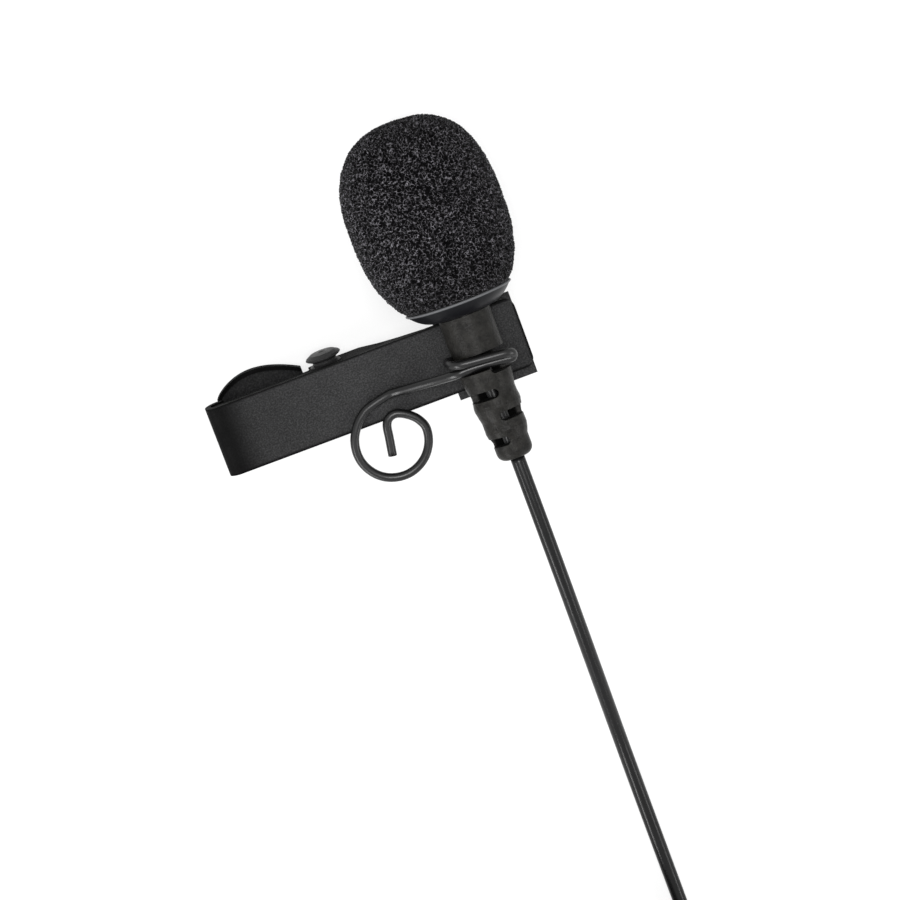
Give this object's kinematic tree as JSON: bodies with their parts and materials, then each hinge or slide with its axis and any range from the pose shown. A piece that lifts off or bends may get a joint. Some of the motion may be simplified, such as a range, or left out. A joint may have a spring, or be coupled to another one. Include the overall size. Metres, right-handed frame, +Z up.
{
  "type": "lavalier microphone",
  "caption": "Small clip-on lapel microphone with foam windscreen, rubber strain relief, wire cord holder, sprung tie clip and thin cord ending in a headset plug.",
  "frame": {"origin": "On the table, under the middle of the object's box without its cord.", "axes": "+X along the clip's bar towards the microphone, +Y along the microphone towards the windscreen, +Z up from the table, the way the bar's face looks."},
  "size_m": [0.0365, 0.153, 0.0162],
  "materials": {
    "foam": "open-cell acoustic foam, near black with a grey bloom",
    "cup_paint": "smooth dark satin paint",
    "shell_paint": "satin black paint on brass",
    "nickel": "nickel plate",
    "cloth": "black woven acoustic cloth",
    "capsule_can": "drawn aluminium",
    "gasket_rubber": "soft black rubber",
    "board": "green solder mask",
    "core_insulation": "coloured insulation",
    "cord_jacket": "satin black jacket",
    "boot_rubber": "moulded matte black rubber",
    "black_wire": "glossy black nickel plate on spring wire",
    "clip_paint": "matte charcoal powder paint on sheet steel",
    "pin_steel": "blackened steel",
    "spring_steel": "bright spring wire",
    "tie_plastic": "black plastic band",
    "relief_rubber": "moulded black rubber",
    "grip_metal": "satin black anodised grip",
    "contact_gold": "gold plate",
    "insulator": "black insulating bands"
  },
  "bodies": {
    "clip": {"front_bar": "clip_paint", "pivot_bracket": "clip_paint", "pivot_pin": "pin_steel", "return_spring": "spring_steel", "wire_holder": "black_wire", "cord_lead": "cord_jacket", "cord_coil": "cord_jacket", "cord_tail": "cord_jacket", "cord_tie": "tie_plastic", "plug_relief": "relief_rubber", "plug_grip": "grip_metal", "jack_sleeve": "contact_gold", "jack_rings": "contact_gold", "jack_tip": "contact_gold", "jack_insulator": "insulator"},
    "lever": {"thumb_lever": "clip_paint"},
    "jaw": {"jaw_arm": "clip_paint", "grip_plate": "clip_paint"},
    "mic": {"capsule_grille": "nickel", "acoustic_screen": "cloth", "mic_shell": "shell_paint", "electret_capsule": "capsule_can", "capsule_gasket": "gasket_rubber", "preamp_board": "board", "core_wires": "core_insulation", "cable_crimp": "nickel", "cable_end": "cord_jacket", "boot": "boot_rubber"},
    "screen": {"windscreen": "foam", "windscreen_cup": "cup_paint"}
  },
  "joints": [
    {"name": "jaw_hinge", "type": "hinge", "parent": "clip", "child": "jaw", "pos_m": [-0.00485, -0.00678, 0.00384], "axis": [0, 1, 0], "range_deg": [0, 14], "stiffness_Nm_per_rad": 0.02, "springref_deg": -17.19, "deforming": ["return_spring"]},
    {"name": "lever_hinge", "type": "hinge", "parent": "clip", "child": "lever", "pos_m": [-0.0164, -0.00678, 0.00529], "axis": [0, 1, 0], "range_deg": [-4, 0]},
    {"name": "mic_twist", "type": "hinge", "parent": "clip", "child": "mic", "pos_m": [0.00975, -0.00678, 0.00972], "axis": [0, 0.9936, -0.1132], "range_deg": [-90, 90]},
    {"name": "screen_pull", "type": "slide", "parent": "mic", "child": "screen", "axis": [0, 0.9936, -0.1132], "range_m": [0, 0.012]}
  ],
  "couplings": [
    {"joint": "lever_hinge", "follows": "jaw_hinge", "ratio": -0.2786}
  ]
}
